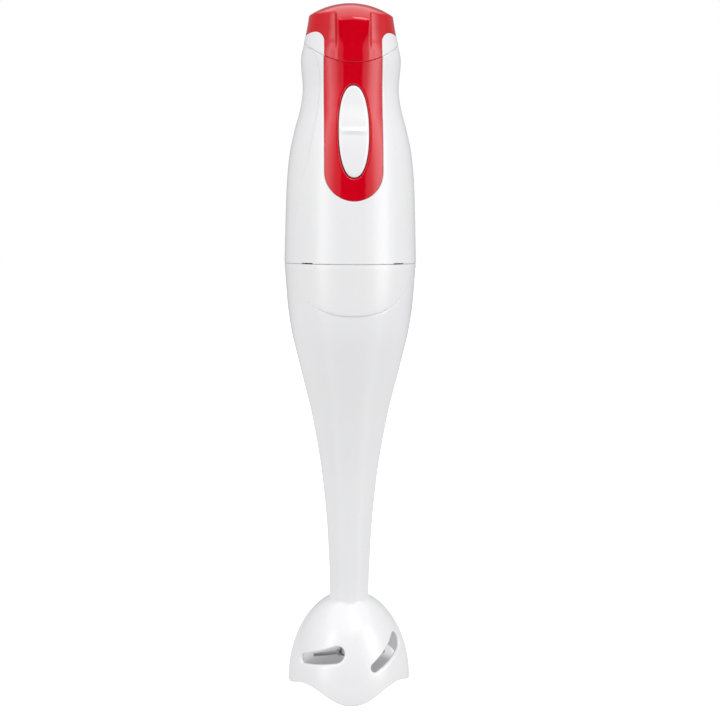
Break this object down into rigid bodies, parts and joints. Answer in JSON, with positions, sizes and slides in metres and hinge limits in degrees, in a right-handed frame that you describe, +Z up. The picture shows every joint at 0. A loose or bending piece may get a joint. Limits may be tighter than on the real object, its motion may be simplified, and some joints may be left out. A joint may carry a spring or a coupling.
{
  "type": "immersion blender",
  "caption": "Hand-held immersion blender: domed handle with motor and rocker button, twist-lock tapered foot, slotted bell guard and spinning blade.",
  "frame": {"origin": "centre of the four feet of the bell, at their level", "axes": "+Z up along the drive shaft to the crown, the front with the button faces -Y, +X to the right seen from the front"},
  "size_m": [0.0668, 0.0672, 0.35],
  "materials": {
    "white_shell": "gloss",
    "red_trim": "gloss",
    "inner_plastic": "matte",
    "dark_plastic": "matte",
    "board": "satin",
    "capacitor": "satin",
    "rubber": "matte",
    "steel": "brushed",
    "stainless": "polished",
    "lamination": "satin",
    "copper": "satin",
    "brass": "satin",
    "carbon": "matte"
  },
  "bodies": {
    "handle": {"handle_front_shell": "white_shell", "handle_rear_shell": "white_shell", "button_bezel": "red_trim", "cap_cover": "red_trim", "cap_collar": "white_shell", "cord_bushing": "rubber", "cord_clamp": "inner_plastic", "clamp_screws": "steel", "housing_screws": "steel", "handle_spigot": "inner_plastic", "lower_motor_bearing": "brass", "motor_cage": "inner_plastic", "stator_core": "lamination", "field_coils": "copper", "upper_bracket": "inner_plastic", "upper_motor_bearing": "brass", "motor_bolts": "steel", "brush_holders": "brass", "carbon_brushes": "carbon", "brush_springs": "steel", "switch_board": "board", "board_screws": "steel", "speed_switches": "dark_plastic", "suppression_capacitor": "capacitor", "rocker_pin": "steel"},
    "rocker": {"rocker_button": "white_shell"},
    "plunger_high": {"upper_plunger": "dark_plastic"},
    "plunger_low": {"lower_plunger": "dark_plastic"},
    "rotor": {"motor_shaft": "steel", "armature_core": "lamination", "armature_winding": "copper", "commutator": "copper", "cooling_fan": "dark_plastic", "motor_coupling": "inner_plastic"},
    "foot": {"foot_housing": "white_shell", "lock_ring": "inner_plastic", "lock_screws": "steel", "upper_shaft_bush": "brass", "lower_shaft_bush": "brass", "shaft_seal": "rubber"},
    "drive": {"drive_shaft": "steel", "drive_dog": "inner_plastic", "thrust_washer": "steel", "retaining_clip": "steel", "blade_hub": "stainless", "blade": "stainless"}
  },
  "joints": [
    {"name": "rocker_tilt", "type": "hinge", "parent": "handle", "child": "rocker", "pos_m": [0, -0.0253, 0.286], "axis": [1, 0, 0], "range_deg": [-2.5, 2.5], "stiffness_Nm_per_rad": 0.7},
    {"name": "upper_plunger_press", "type": "slide", "parent": "handle", "child": "plunger_high", "axis": [0, 1, 0], "range_m": [-0.00055, 0.00055]},
    {"name": "lower_plunger_press", "type": "slide", "parent": "handle", "child": "plunger_low", "axis": [0, 1, 0], "range_m": [-0.00055, 0.00055]},
    {"name": "motor_spin", "type": "hinge", "parent": "handle", "child": "rotor", "pos_m": [0, 0, 0.24], "axis": [0, 0, 1], "continuous": true},
    {"name": "foot_twist", "type": "hinge", "parent": "handle", "child": "foot", "pos_m": [0, 0, 0.212], "axis": [0, 0, 1], "range_deg": [0, 28]},
    {"name": "blade_spin", "type": "hinge", "parent": "foot", "child": "drive", "pos_m": [0, 0, 0.013], "axis": [0, 0, 1], "continuous": true}
  ],
  "couplings": [
    {"joint": "upper_plunger_press", "follows": "rocker_tilt", "m_per_rad": -0.012},
    {"joint": "lower_plunger_press", "follows": "rocker_tilt", "m_per_rad": 0.012},
    {"joint": "blade_spin", "follows": "motor_spin", "ratio": 1}
  ]
}
